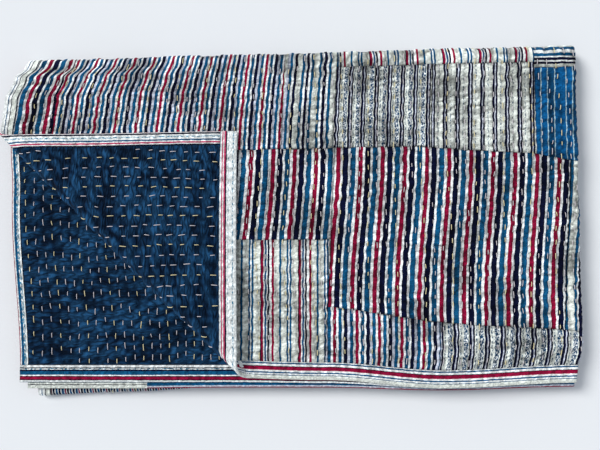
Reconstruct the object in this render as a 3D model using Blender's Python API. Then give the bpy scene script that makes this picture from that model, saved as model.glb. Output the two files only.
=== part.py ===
"""A patchwork kantha throw, folded three times into a low block, with one corner turned back.

The throw is modelled flat and then folded. A point of the flat throw is (u, v, w), in metres:
u runs across its width, v along its length, and w out of the patchwork face, from the middle
of the cloth. The corner u = 0, v = 0 is the one that is turned back.

The folds, in the order in which the throw is folded:
  1. the far half of the width goes under, which makes the right side of the block;
  2. the far half of the length goes under;
  3. the far half of what is left goes under, which makes the far side of the block.
So the block has eight layers. Its near side shows four bound edges above a double fold, its
left side shows eight bound edges, and its right and far sides are folds.
"""

import math

import bmesh
import bpy
from mathutils import Matrix, Vector

# The throw laid flat
QUILT_WIDTH = 1.27
QUILT_LENGTH = 1.49

# Its cloth, measured from the middle of its thickness
HALF_SHEET = 0.0015  # the sewn cloth is 3 mm thick
GAP = 0.0004  # left between any two pieces
BINDING_LEG = 0.0005
TONGUE = HALF_SHEET - BINDING_LEG - GAP  # the cloth's edge is pressed this thin inside the binding
LEFT_BINDING = 0.015  # binding width on the left long side
RIGHT_BINDING = 0.009  # and on the right one
END_BINDING = 0.019  # binding width on the short ends
SHOULDER = 0.0004  # length of the step from the tongue to the full thickness

# The folded block
PITCH = 0.0036  # from the middle of one layer to the middle of the next
LAYERS = 8
HALF_STACK = (LAYERS - 1) / 2 * PITCH + HALF_SHEET
SIDE_CREASE = QUILT_WIDTH / 2
MIDDLE_CREASE = QUILT_LENGTH / 2
FAR_CREASE = QUILT_LENGTH / 4
BLOCK_WIDTH = QUILT_WIDTH / 2
BLOCK_DEPTH = QUILT_LENGTH / 4
TIGHT_STEPS = 4  # facets round each of the first two creases
WIDE_STEPS = 6  # facets round the last crease and round the turned corner

# The turned-back corner of the top layer
CORNER_ACROSS = 0.273  # the turning line meets the near edge here
CORNER_ALONG = 0.279  # and the left edge here
ROLL_RADIUS = 0.009  # of the soft roll along the turning line
FLAP_REST = PITCH + 0.0012  # height of the turned corner over its layer, away from the roll
FLAP_SETTLE = 0.17  # the distance over which the corner comes down from its roll
FLAP_CUTS = (0.012, 0.035, 0.065, 0.10, 0.14)
CORNER_SHIFT = 0.009  # the corner is pulled this far up the layer before it is turned
CORNER_SHIFT_REACH = 0.27

# How far each long edge is pulled in from a straight line, along the length of the throw,
# which is counted here in layers of the block: 0 and 4 are its ends, 1 and 3 lie on the far
# side and 2 on the near side.
LONG_EDGES = (
    {"layers": 0.00, "left": -0.027, "right": 0.012},
    {"layers": 0.58, "left": -0.022, "right": -0.005},
    {"layers": 0.74, "left": -0.021, "right": -0.009},
    {"layers": 0.87, "left": -0.017, "right": -0.004},
    {"layers": 0.94, "left": -0.008, "right": 0.001},
    {"layers": 0.98, "left": 0.005, "right": 0.005},
    {"layers": 1.04, "left": 0.009, "right": 0.009},
    {"layers": 2.00, "left": 0.029, "right": 0.029},
    {"layers": 3.00, "left": 0.006, "right": 0.006},
    {"layers": 4.00, "left": 0.020, "right": 0.020},
)
LONG_EDGE_REACH = 0.30  # how far in from a long edge the cloth is pulled with it

# How high the stack stands, as a share of its plain height: puffy in the middle and flatter
# at the free edges. Rows run from the near side to the far side.
HEIGHTS = (
    {"along": 0.00, "left": 0.86, "mid_left": 0.92, "mid_right": 0.96, "right": 0.93},
    {"along": 0.30, "left": 0.89, "mid_left": 1.00, "mid_right": 1.05, "right": 0.99},
    {"along": 0.70, "left": 0.90, "mid_left": 1.02, "mid_right": 1.06, "right": 1.01},
    {"along": 1.00, "left": 0.88, "mid_left": 0.95, "mid_right": 0.99, "right": 0.98},
)
HEIGHT_COLUMNS = ("left", "mid_left", "mid_right", "right")

# How far the near edge of each layer stands forward of an even block, at shares of the width
# from the left: the first layer, the second, the third and fourth, and the four below.
NEAR_EDGES = (
    {"across": 0.00, "first": 0.000, "second": 0.000, "middle": 0.007, "lower": 0.016},
    {"across": 0.20, "first": 0.000, "second": 0.000, "middle": 0.007, "lower": 0.011},
    {"across": 0.38, "first": -0.005, "second": 0.000, "middle": 0.006, "lower": 0.005},
    {"across": 0.55, "first": -0.003, "second": 0.001, "middle": 0.006, "lower": 0.006},
    {"across": 0.76, "first": 0.006, "second": 0.007, "middle": 0.009, "lower": 0.008},
    {"across": 1.00, "first": 0.000, "second": 0.000, "middle": 0.005, "lower": 0.004},
)
NEAR_REACH = 0.55  # share of the depth over which those shifts die away
RIGHT_EDGE = (
    {"along": 0.00, "out": -0.011},
    {"along": 0.12, "out": -0.003},
    {"along": 0.70, "out": 0.000},
    {"along": 1.00, "out": 0.003},
)
FAR_SLANT = 0.018  # the far side runs this much out of square over the width

# Lines across and along the flat throw, as shares of one layer, where it may bend a little
EASE_ACROSS = (0.13, 0.29, 0.45, 0.65, 0.87)
EASE_ALONG = (0.15, 0.38, 0.62, 0.85)

# Colours of the cloths, as linear RGB
PATCHWORK_COLOUR = (0.16, 0.19, 0.25, 1.0)
NAVY_COLOUR = (0.010, 0.030, 0.085, 1.0)
BINDING_COLOUR = (0.42, 0.47, 0.50, 1.0)
COTTON_ROUGHNESS = 0.9


def clear_scene():
    for obj in list(bpy.data.objects):
        bpy.data.objects.remove(obj)


def eased(share):
    """A share from 0 to 1 that starts and stops gently."""
    share = min(1.0, max(0.0, share))
    return share * share * (3 - 2 * share)


def read_table(rows, key, column, place):
    """The value of a table's column at a place between its rows, eased from row to row."""
    for low, high in zip(rows, rows[1:]):
        if place <= high[key] or high is rows[-1]:
            part = eased((place - low[key]) / (high[key] - low[key]))
            return low[column] + part * (high[column] - low[column])


def fold_under(along, height, crease, radius):
    """Takes what lies past a crease round half a turn, so that it lies underneath."""
    bend = math.pi * radius
    start = crease - bend / 2
    past = along - start
    if past <= 0:
        return along, radius + height
    if past < bend:
        angle = past / radius
        return start + (radius + height) * math.sin(angle), (radius + height) * math.cos(angle)
    return start - (past - bend), -radius - height


def corner_distance(x, y):
    """How far a point of the top layer lies past the turning line, towards the corner."""
    leg = math.hypot(CORNER_ACROSS, CORNER_ALONG)
    return (CORNER_ACROSS * CORNER_ALONG - x * CORNER_ALONG - y * CORNER_ACROSS) / leg


def turn_corner(x, y, w):
    """Rolls the near left corner of the top layer up and back over the layer."""
    past = corner_distance(x, y)
    top = (LAYERS - 1) / 2 * PITCH
    if past <= 0:
        return x, y, top + w
    roll = math.pi * ROLL_RADIUS
    if past < roll:
        angle = past / ROLL_RADIUS
        reach = (ROLL_RADIUS - w) * math.sin(angle)
        lift = ROLL_RADIUS - (ROLL_RADIUS - w) * math.cos(angle)
    else:
        back = past - roll
        reach = -back
        fall = eased(back / FLAP_SETTLE)
        lift = 2 * ROLL_RADIUS - fall * (2 * ROLL_RADIUS - FLAP_REST) - w
    leg = math.hypot(CORNER_ACROSS, CORNER_ALONG)
    moved = past - reach
    return x + moved * CORNER_ALONG / leg, y + moved * CORNER_ACROSS / leg, top + lift


def pulled(point):
    """Pulls the long edges of the flat throw, and the corner that is turned, out of true."""
    u, v, w = point
    left = 1 - eased(u / LONG_EDGE_REACH)
    right = 1 - eased((QUILT_WIDTH - u) / LONG_EDGE_REACH)
    layers = v / FAR_CREASE
    across = left * read_table(LONG_EDGES, "layers", "left", layers)
    across -= right * read_table(LONG_EDGES, "layers", "right", layers)
    up_layer = 1 - eased(v / CORNER_SHIFT_REACH)
    return Vector((u + across, v + CORNER_SHIFT * left * up_layer, w))


def layer_group(u, v):
    """Which of the groups of layers in NEAR_EDGES a point of the flat throw belongs to."""
    if v < FAR_CREASE:
        return "first" if u < SIDE_CREASE else "second"
    return "middle" if v > QUILT_LENGTH - FAR_CREASE else "lower"


def settle(x, y, z, group):
    """Turns the even block into the uneven one, and puts the origin under its middle."""
    across = min(1.0, max(0.0, x / BLOCK_WIDTH))
    along = min(1.0, max(0.0, y / BLOCK_DEPTH))

    columns = [read_table(HEIGHTS, "along", name, along) for name in HEIGHT_COLUMNS]
    place = across * (len(columns) - 1)
    column = min(int(place), len(columns) - 2)
    part = eased(place - column)
    height = columns[column] + part * (columns[column + 1] - columns[column])

    forward = read_table(NEAR_EDGES, "across", group, across) * (1 - eased(along / NEAR_REACH))
    out = read_table(RIGHT_EDGE, "along", "out", along) * eased(2 * across - 1)
    return (
        x - BLOCK_WIDTH / 2 + out,
        y - BLOCK_DEPTH / 2 + FAR_SLANT * (across - 0.5) * along - forward,
        z * height,
    )


def folded(point):
    """Where a point of the flat throw lies once it is folded."""
    u, v, w = point
    x, height = fold_under(u, w, SIDE_CREASE, PITCH / 2)
    y, height = fold_under(v, height, MIDDLE_CREASE, PITCH)
    y, height = fold_under(y, height, FAR_CREASE, 2 * PITCH)
    if corner_distance(u, v) > 0:
        x, y, height = turn_corner(u, v, w)
    return Vector(settle(x, y, height + HALF_STACK, layer_group(u, v)))


def bend_lines(crease, radius, steps):
    """Lines that divide the bend at a crease into even steps."""
    bend = math.pi * radius
    return [crease + bend * (step / steps - 0.5) for step in range(steps + 1)]


def lines_across():
    """The lines of constant u where the cloth bends."""
    eases = [share * SIDE_CREASE for share in EASE_ACROSS]
    mirrored = [QUILT_WIDTH - line for line in eases]
    return sorted(eases + mirrored + bend_lines(SIDE_CREASE, PITCH / 2, TIGHT_STEPS))


def lines_along():
    """The lines of constant v where the cloth bends."""
    eases = [(layer + share) * FAR_CREASE for layer in range(4) for share in EASE_ALONG]
    creases = bend_lines(MIDDLE_CREASE, PITCH, TIGHT_STEPS)
    creases += bend_lines(FAR_CREASE, 2 * PITCH, WIDE_STEPS)
    creases += bend_lines(QUILT_LENGTH - FAR_CREASE, 2 * PITCH, WIDE_STEPS)
    return sorted(eases + creases)


def bounded(lines, low, high):
    """The lines between two limits, with the limits themselves, and none crowding them."""
    clear = 0.0015
    return [low] + [line for line in lines if low + clear < line < high - clear] + [high]


def fold_sheet(flat):
    """Pulls a flat piece out of true, cuts it along the turned corner's bends, and folds it."""
    for vert in flat.verts:
        vert.co = pulled(vert.co)
    leg = math.hypot(CORNER_ACROSS, CORNER_ALONG)
    towards_corner = Vector((-CORNER_ALONG / leg, -CORNER_ACROSS / leg, 0))
    roll = math.pi * ROLL_RADIUS
    cuts = [roll * step / WIDE_STEPS for step in range(WIDE_STEPS + 1)]
    cuts += [roll + cut for cut in FLAP_CUTS]
    for cut in cuts:
        place = Vector((CORNER_ACROSS, 0, 0)) + towards_corner * cut
        corner = [
            face
            for face in flat.faces
            if all(vert.co.x < SIDE_CREASE and vert.co.y < FAR_CREASE for vert in face.verts)
        ]
        parts = {part for face in corner for part in (*face.verts, *face.edges)}
        bmesh.ops.bisect_plane(
            flat,
            geom=corner + list(parts),
            dist=1e-6,
            plane_co=place,
            plane_no=towards_corner,
        )
    bmesh.ops.triangulate(flat, faces=flat.faces)
    bmesh.ops.recalc_face_normals(flat, faces=flat.faces)
    for vert in flat.verts:
        vert.co = folded(vert.co)
    if flat.calc_volume(signed=True) < 0:
        bmesh.ops.reverse_faces(flat, faces=flat.faces)


def cotton(name, colour):
    material = bpy.data.materials.new(name)
    material.use_nodes = True
    shader = material.node_tree.nodes["Principled BSDF"]
    shader.inputs["Base Color"].default_value = colour
    shader.inputs["Roughness"].default_value = COTTON_ROUGHNESS
    shader.inputs["Metallic"].default_value = 0.0
    material.diffuse_color = colour
    return material


def add_object(name, flat, material):
    fold_sheet(flat)
    mesh = bpy.data.meshes.new(name)
    flat.to_mesh(mesh)
    flat.free()
    mesh.materials.append(material)
    obj = bpy.data.objects.new(name, mesh)
    bpy.context.scene.collection.objects.link(obj)
    return obj


def bridge_grids(flat, upper, lower):
    """Closes two grids of vertices, one above the other, into one solid."""
    rows, columns = len(upper), len(upper[0])
    for grid in (upper, lower):
        for row in range(rows - 1):
            for column in range(columns - 1):
                flat.faces.new(
                    (
                        grid[row][column],
                        grid[row][column + 1],
                        grid[row + 1][column + 1],
                        grid[row + 1][column],
                    )
                )
    rim = [(0, column) for column in range(columns)]
    rim += [(row, columns - 1) for row in range(1, rows)]
    rim += [(rows - 1, column) for column in range(columns - 2, -1, -1)]
    rim += [(row, 0) for row in range(rows - 2, 0, -1)]
    for (row, column), (next_row, next_column) in zip(rim, rim[1:] + rim[:1]):
        flat.faces.new(
            (
                upper[row][column],
                upper[next_row][next_column],
                lower[next_row][next_column],
                lower[row][column],
            )
        )


def make_cloth(name, side, material):
    """One of the two cloths: side is 1 for the patchwork face and -1 for the backing."""
    edge = BINDING_LEG + GAP
    left_step = LEFT_BINDING + GAP
    right_step = RIGHT_BINDING + GAP
    end_step = END_BINDING + GAP
    across = bounded(lines_across(), left_step + SHOULDER, QUILT_WIDTH - right_step - SHOULDER)
    along = bounded(lines_along(), end_step + SHOULDER, QUILT_LENGTH - end_step - SHOULDER)
    across = [edge, left_step, *across, QUILT_WIDTH - right_step, QUILT_WIDTH - edge]
    along = [edge, end_step, *along, QUILT_LENGTH - end_step, QUILT_LENGTH - edge]

    def outside(row, column):
        on_tongue = row < 2 or column < 2 or row > len(along) - 3 or column > len(across) - 3
        return TONGUE if on_tongue else HALF_SHEET

    flat = bmesh.new()
    outer = [
        [flat.verts.new((u, v, side * outside(row, column))) for column, u in enumerate(across)]
        for row, v in enumerate(along)
    ]
    inner = [[flat.verts.new((u, v, side * GAP / 2)) for u in across] for v in along]
    bridge_grids(flat, outer, inner)
    return add_object(name, flat, material)


def make_binding(name, width, stations, place, material):
    """A strip folded over one edge. place(distance along it, distance in from the edge)."""
    inside = HALF_SHEET - BINDING_LEG
    profile = (
        (width, HALF_SHEET),
        (0.0, HALF_SHEET),
        (0.0, -HALF_SHEET),
        (width, -HALF_SHEET),
        (width, -inside),
        (BINDING_LEG, -inside),
        (BINDING_LEG, inside),
        (width, inside),
    )
    flat = bmesh.new()
    rings = [
        [flat.verts.new((*place(station, inward), w)) for inward, w in profile]
        for station in stations
    ]
    for ring, following in zip(rings, rings[1:]):
        for corner in range(len(profile)):
            after = (corner + 1) % len(profile)
            flat.faces.new((ring[corner], ring[after], following[after], following[corner]))
    for ring in (rings[0], rings[-1]):
        upper_leg, lower_leg = (0, 1, 6, 7), (2, 3, 4, 5)
        web = (1, 2, 5, 6)
        for part in (upper_leg, lower_leg, web):
            flat.faces.new([ring[corner] for corner in part])
    return add_object(name, flat, material)


def make_bindings(material):
    """The end strips run the full width, and the side strips butt against them."""
    across = bounded(lines_across(), 0.0, QUILT_WIDTH)
    clear = END_BINDING + GAP
    along = bounded(lines_along(), clear, QUILT_LENGTH - clear)
    strips = {
        "binding_left": (LEFT_BINDING, along, lambda v, inward: (inward, v)),
        "binding_right": (RIGHT_BINDING, along, lambda v, inward: (QUILT_WIDTH - inward, v)),
        "binding_foot": (END_BINDING, across, lambda u, inward: (u, inward)),
        "binding_head": (END_BINDING, across, lambda u, inward: (u, QUILT_LENGTH - inward)),
    }
    for name, (width, stations, place) in strips.items():
        make_binding(name, width, stations, place, material)


def main():
    clear_scene()
    make_cloth("patchwork_face", 1, cotton("patchwork_cotton", PATCHWORK_COLOUR))
    make_cloth("plain_backing", -1, cotton("navy_cotton", NAVY_COLOUR))
    make_bindings(cotton("striped_binding", BINDING_COLOUR))


main()
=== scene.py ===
"""A patchwork kantha throw, folded into a low block on a pale surface, one corner turned back.

The throw is made flat and then folded, with the same folds as its CAD solids. A point of the
flat throw is (u, v, w) in metres: u across its width, v along its length, and w out of the
patchwork face from the middle of the cloth. The corner u = 0, v = 0 is the one turned back.
Every cloth carries a UV map, "cloth", that holds its own flat u and v in metres, so stripes,
weave and stitches follow the cloth through its folds.
"""

import math

import bpy
import numpy as np
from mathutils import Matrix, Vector


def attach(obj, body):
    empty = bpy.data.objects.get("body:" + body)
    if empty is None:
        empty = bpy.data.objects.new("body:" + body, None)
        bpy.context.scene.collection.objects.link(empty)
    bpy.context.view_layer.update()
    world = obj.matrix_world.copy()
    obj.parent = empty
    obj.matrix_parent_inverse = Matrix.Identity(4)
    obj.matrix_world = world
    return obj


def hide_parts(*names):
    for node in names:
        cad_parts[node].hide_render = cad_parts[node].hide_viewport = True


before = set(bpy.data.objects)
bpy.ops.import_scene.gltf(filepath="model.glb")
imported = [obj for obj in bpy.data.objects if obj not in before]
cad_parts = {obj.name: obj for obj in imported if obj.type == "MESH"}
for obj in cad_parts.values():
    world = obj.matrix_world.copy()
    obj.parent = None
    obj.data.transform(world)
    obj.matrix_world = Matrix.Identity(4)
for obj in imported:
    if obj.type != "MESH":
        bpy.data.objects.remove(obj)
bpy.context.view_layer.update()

MM = 0.001

# ---------------------------------------------------------------- the throw and its folds

QUILT_WIDTH = 1.27
QUILT_LENGTH = 1.49
HALF_SHEET = 0.0015
GAP = 0.0004
BINDING_LEG = 0.0005
TONGUE = HALF_SHEET - BINDING_LEG - GAP
LEFT_BINDING = 0.015
RIGHT_BINDING = 0.009
END_BINDING = 0.019

PITCH = 0.0036
LAYERS = 8
HALF_STACK = (LAYERS - 1) / 2 * PITCH + HALF_SHEET
SIDE_CREASE = QUILT_WIDTH / 2
MIDDLE_CREASE = QUILT_LENGTH / 2
FAR_CREASE = QUILT_LENGTH / 4
BLOCK_WIDTH = QUILT_WIDTH / 2
BLOCK_DEPTH = QUILT_LENGTH / 4

CORNER_ACROSS = 0.273
CORNER_ALONG = 0.279
ROLL_RADIUS = 0.009
FLAP_REST = PITCH + 0.0012
FLAP_SETTLE = 0.17
CORNER_SHIFT = 0.009
CORNER_SHIFT_REACH = 0.27

# How far in the long edges of the flat throw are pulled, in metres, at places along it that
# are counted in layers of the folded block
LONG_EDGES = (
    {"layers": 0.00, "left": -0.027, "right": 0.012},
    {"layers": 0.58, "left": -0.022, "right": -0.005},
    {"layers": 0.74, "left": -0.021, "right": -0.009},
    {"layers": 0.87, "left": -0.017, "right": -0.004},
    {"layers": 0.94, "left": -0.008, "right": 0.001},
    {"layers": 0.98, "left": 0.005, "right": 0.005},
    {"layers": 1.04, "left": 0.009, "right": 0.009},
    {"layers": 2.00, "left": 0.029, "right": 0.029},
    {"layers": 3.00, "left": 0.006, "right": 0.006},
    {"layers": 4.00, "left": 0.020, "right": 0.020},
)
LONG_EDGE_REACH = 0.30

# The block's height as a share of an even one, at places back from its near end
HEIGHTS = (
    {"along": 0.00, "left": 0.86, "mid_left": 0.92, "mid_right": 0.96, "right": 0.93},
    {"along": 0.30, "left": 0.89, "mid_left": 1.00, "mid_right": 1.05, "right": 0.99},
    {"along": 0.70, "left": 0.90, "mid_left": 1.02, "mid_right": 1.06, "right": 1.01},
    {"along": 1.00, "left": 0.88, "mid_left": 0.95, "mid_right": 0.99, "right": 0.98},
)
HEIGHT_COLUMNS = ("left", "mid_left", "mid_right", "right")

# How far forward the near ends of the layers come, in metres, at places across the block
NEAR_EDGES = (
    {"across": 0.00, "first": 0.000, "second": 0.000, "middle": 0.007, "lower": 0.016},
    {"across": 0.20, "first": 0.000, "second": 0.000, "middle": 0.007, "lower": 0.011},
    {"across": 0.38, "first": -0.005, "second": 0.000, "middle": 0.006, "lower": 0.005},
    {"across": 0.55, "first": -0.003, "second": 0.001, "middle": 0.006, "lower": 0.006},
    {"across": 0.76, "first": 0.006, "second": 0.007, "middle": 0.009, "lower": 0.008},
    {"across": 1.00, "first": 0.000, "second": 0.000, "middle": 0.005, "lower": 0.004},
)
NEAR_REACH = 0.55
# How far out the block's right side comes, in metres, at places back from its near end
RIGHT_EDGE = (
    {"along": 0.00, "out": -0.011},
    {"along": 0.12, "out": -0.003},
    {"along": 0.70, "out": 0.000},
    {"along": 1.00, "out": 0.003},
)
FAR_SLANT = 0.018  # the far side's right end lies this much further back than its left end


def eased(share):
    """Shares from 0 to 1 that start and stop gently."""
    share = np.clip(share, 0.0, 1.0)
    return share * share * (3 - 2 * share)


def read_table(rows, key, column, place):
    """A table's column at places between its rows, eased from row to row."""
    keys = np.array([row[key] for row in rows])
    values = np.array([row[column] for row in rows])
    low = np.clip(np.searchsorted(keys, place, side="right") - 1, 0, len(rows) - 2)
    part = eased((place - keys[low]) / (keys[low + 1] - keys[low]))
    return values[low] + part * (values[low + 1] - values[low])


def fold_under(along, height, crease, radius):
    """Takes what lies past a crease round half a turn, so that it lies underneath."""
    bend = math.pi * radius
    start = crease - bend / 2
    past = along - start
    angle = np.clip(past / radius, 0, math.pi)
    turned = start + (radius + height) * np.sin(angle) - np.maximum(past - bend, 0)
    return np.where(past <= 0, along, turned), (radius + height) * np.cos(angle)


def corner_distance(x, y):
    """How far a point of the top layer lies past the turning line, towards the corner."""
    leg = math.hypot(CORNER_ACROSS, CORNER_ALONG)
    return (CORNER_ACROSS * CORNER_ALONG - x * CORNER_ALONG - y * CORNER_ACROSS) / leg


def turn_corner(x, y, w):
    """Rolls the near left corner of the top layer up and back over the layer."""
    past = corner_distance(x, y)
    roll = math.pi * ROLL_RADIUS
    angle = np.clip(past / ROLL_RADIUS, 0, math.pi)
    back = np.maximum(past - roll, 0)
    fall = eased(back / FLAP_SETTLE) * (2 * ROLL_RADIUS - FLAP_REST)
    reach = (ROLL_RADIUS - w) * np.sin(angle) - back
    lift = ROLL_RADIUS - (ROLL_RADIUS - w) * np.cos(angle) - fall
    leg = math.hypot(CORNER_ACROSS, CORNER_ALONG)
    moved = past - reach
    top = (LAYERS - 1) / 2 * PITCH
    return x + moved * CORNER_ALONG / leg, y + moved * CORNER_ACROSS / leg, top + lift


def pulled(u, v):
    """Pulls the long edges of the flat throw, and the corner that is turned, out of true."""
    left = 1 - eased(u / LONG_EDGE_REACH)
    right = 1 - eased((QUILT_WIDTH - u) / LONG_EDGE_REACH)
    layers = v / FAR_CREASE
    across = left * read_table(LONG_EDGES, "layers", "left", layers)
    across -= right * read_table(LONG_EDGES, "layers", "right", layers)
    up_layer = 1 - eased(v / CORNER_SHIFT_REACH)
    return u + across, v + CORNER_SHIFT * left * up_layer


def settle(x, y, z, u, v):
    """Turns the even block into the uneven one, and puts the origin under its middle."""
    across = np.clip(x / BLOCK_WIDTH, 0, 1)
    along = np.clip(y / BLOCK_DEPTH, 0, 1)
    columns = np.array([read_table(HEIGHTS, "along", name, along) for name in HEIGHT_COLUMNS])
    place = across * (len(columns) - 1)
    low = np.minimum(place.astype(int), len(columns) - 2)
    each = np.arange(len(place))
    start, end = columns[low, each], columns[low + 1, each]
    height = start + eased(place - low) * (end - start)

    upper = np.where(u < SIDE_CREASE, 0, 1)
    group = np.where(v < FAR_CREASE, upper, np.where(v > QUILT_LENGTH - FAR_CREASE, 2, 3))
    edges = [read_table(NEAR_EDGES, "across", name, across)
             for name in ("first", "second", "middle", "lower")]
    forward = np.choose(group, edges) * (1 - eased(along / NEAR_REACH))
    out = read_table(RIGHT_EDGE, "along", "out", along) * eased(2 * across - 1)
    return (
        x - BLOCK_WIDTH / 2 + out,
        y - BLOCK_DEPTH / 2 + FAR_SLANT * (across - 0.5) * along - forward,
        z * height,
    )


def folded(u, v, w):
    """Where points of the flat throw lie once it is folded, as rows of x, y and z."""
    u, v = pulled(u, v)
    x, height = fold_under(u, w, SIDE_CREASE, PITCH / 2)
    y, height = fold_under(v, height, MIDDLE_CREASE, PITCH)
    y, height = fold_under(y, height, FAR_CREASE, 2 * PITCH)
    on_corner = corner_distance(u, v) > 0
    turned = turn_corner(u, v, w)
    x, y, height = (np.where(on_corner, a, b) for a, b in zip(turned, (x, y, height)))
    x, y, z = settle(x, y, height + HALF_STACK, u, v)
    return np.stack([x, y, np.maximum(z, 0)], axis=-1)


# ---------------------------------------------------------------- rows of stitches and puckers

ROW = 0.0102  # between rows of running stitch
STITCH_PITCH = 0.0152  # from one stitch to the next along a row
STITCH_LENGTH = 0.0062


def wave_field(seed, shortest, longest, heading, spread, count=28):
    """A smooth random surface of unit size: many waves whose crests lie across a heading.

    Lengths are in metres. The heading is an angle from u towards v, and the spread is how
    far, in radians, the waves stray from it.
    """
    draw = np.random.default_rng(seed)
    length = draw.uniform(shortest, longest, count)
    angle = heading + draw.uniform(-spread, spread, count)
    start = draw.uniform(0, 2 * math.pi, count)
    wave_u = 2 * math.pi * np.cos(angle) / length
    wave_v = 2 * math.pi * np.sin(angle) / length
    size = math.sqrt(2 / count)

    def field(u, v):
        total = np.zeros(np.shape(u))
        for across, along, phase in zip(wave_u, wave_v, start):
            total += np.sin(across * u + along * v + phase)
        return total * size

    return field


ALONG = math.pi / 2
row_wander = wave_field(11, 0.16, 0.38, ALONG, 0.9)
stitch_drift = wave_field(12, 0.07, 0.20, ALONG / 2, 1.6)
gather = wave_field(13, 0.010, 0.018, ALONG, 0.75, 36)
crumple = wave_field(14, 0.007, 0.012, ALONG / 2, 1.6, 40)
undulation = wave_field(15, 0.045, 0.11, ALONG, 1.5)
sway = wave_field(16, 0.012, 0.022, ALONG, 0.5, 30)
slack = wave_field(17, 0.012, 0.030, ALONG, 1.5, 30)
patchiness = wave_field(18, 0.03, 0.08, ALONG, 1.6)
rumple = wave_field(19, 0.013, 0.032, ALONG * 0.6, 0.8, 30)

ROW_WANDER = 0.20  # in rows
STITCH_DRIFT = 0.22  # in stitch pitches


def row_place(u, v):
    """Counts rows of stitches across the throw: whole numbers lie on a row."""
    return u / ROW - ROW_WANDER * row_wander(u, v)


def stitch_place(u, v):
    """Counts stitches along a row: whole numbers lie at the middle of a stitch."""
    return v / STITCH_PITCH - STITCH_DRIFT * stitch_drift(u, v)


# Creases that stand out from the even puckering: the places on the flat throw that each one
# runs between, its rise and its width. A positive rise is a ridge on the patchwork face and a
# trough on the backing.
CREASES = (
    ((0.245, 0.020), (0.262, 0.060), 0.0008, 0.004),
    ((0.298, 0.004), (0.318, 0.030), -0.0009, 0.003),
    ((0.345, 0.000), (0.352, 0.026), 0.0009, 0.003),
    ((0.398, 0.002), (0.410, 0.034), -0.0009, 0.004),
    ((0.455, 0.120), (0.500, 0.175), -0.0007, 0.005),
    ((0.540, 0.200), (0.590, 0.235), -0.0006, 0.005),
    ((0.375, 0.330), (0.440, 0.345), -0.0007, 0.005),
    ((0.075, 0.300), (0.095, 0.355), 0.0008, 0.006),
    ((0.030, 0.275), (0.050, 0.360), -0.0010, 0.007),
    # on the turned corner
    ((0.020, 0.060), (0.200, 0.052), -0.0010, 0.005),
    ((0.020, 0.092), (0.160, 0.086), -0.0011, 0.005),
    ((0.020, 0.124), (0.140, 0.118), -0.0009, 0.006),
    ((0.030, 0.150), (0.115, 0.146), 0.0009, 0.006),
    # on the layer under it
    ((1.240, 0.150), (1.190, 0.110), -0.0011, 0.006),
    ((1.225, 0.080), (1.165, 0.055), -0.0012, 0.006),
    ((1.250, 0.210), (1.215, 0.180), 0.0010, 0.006),
    ((1.180, 0.030), (1.110, 0.045), -0.0009, 0.006),
    ((1.245, 0.045), (1.205, 0.030), 0.0010, 0.005),
    ((1.235, 0.240), (1.185, 0.175), 0.0012, 0.004),
    ((1.205, 0.140), (1.130, 0.085), 0.0011, 0.004),
    ((1.250, 0.110), (1.180, 0.090), 0.0010, 0.004),
    ((1.130, 0.070), (1.060, 0.035), 0.0011, 0.004),
)


def creased(u, v):
    """The rise of the listed creases on the patchwork face."""
    total = np.zeros(np.shape(u))
    for (u0, v0), (u1, v1), rise, width in CREASES:
        du, dv = u1 - u0, v1 - v0
        span = du * du + dv * dv
        along = np.clip(((u - u0) * du + (v - v0) * dv) / span, 0, 1)
        off = np.hypot(u - u0 - along * du, v - v0 - along * dv)
        fade = np.sin(math.pi * np.clip(along * 0.9 + 0.05, 0, 1))
        total += rise * fade * np.exp(-((off / width) ** 2))
    return total


# How far the cloth may stand proud of its even surface, and sink into it
PROUD_OPEN = 0.0013
PROUD_SHUT = 0.0002
SINK_OPEN = 0.0012
SINK_SHUT = 0.0004
# Where the cloth starts to be pressed, and over what length it settles: past the far crease,
# past the side crease, at the turning line and at the edge of the layer that is bared
FAR_PRESS = (0.012, 0.012)
SIDE_PRESS = (0.003, 0.006)
TURN_PRESS = (0.004, 0.012)
BARED_PRESS = (0.006, 0.020)


def openness(side, u, v):
    """1 where the cloth lies open to view, and 0 where it is pressed between layers."""
    pulled_u, pulled_v = pulled(u, v)
    turned = eased((corner_distance(pulled_u, pulled_v) + TURN_PRESS[0]) / TURN_PRESS[1])
    if side > 0:
        top = 1 - eased((v - FAR_CREASE - FAR_PRESS[0]) / FAR_PRESS[1])
        top *= 1 - eased((u - SIDE_CREASE - SIDE_PRESS[0]) / SIDE_PRESS[1])
        return top * (1 - 0.75 * turned)
    bare_u, bare_v = QUILT_WIDTH - pulled_u, pulled_v
    bared = eased((corner_distance(bare_u, bare_v) + BARED_PRESS[0]) / BARED_PRESS[1])
    shown = np.where(u < SIDE_CREASE, turned, bared)
    return shown * (v < FAR_CREASE)


# How strongly each unevenness lifts a cloth, in metres: the patchwork face, and the backing
STITCH_DRAW = {1: 0.00085, -1: 0.00130}  # drawn down at each stitch
ROW_SWELL = {1: 0.00095, -1: 0.00065}  # swelling between the rows
FINE_PUCKERS = {1: 0.00080, -1: 0.00040}
CRUMPLES = {1: 0.00055, -1: 0.00025}
RUMPLES = {1: 0.0, -1: 0.00105}
UNDULATION = 0.00035
STITCH_DIMPLE = 0.0021  # how far each side of a row its stitches draw the cloth down


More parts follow.
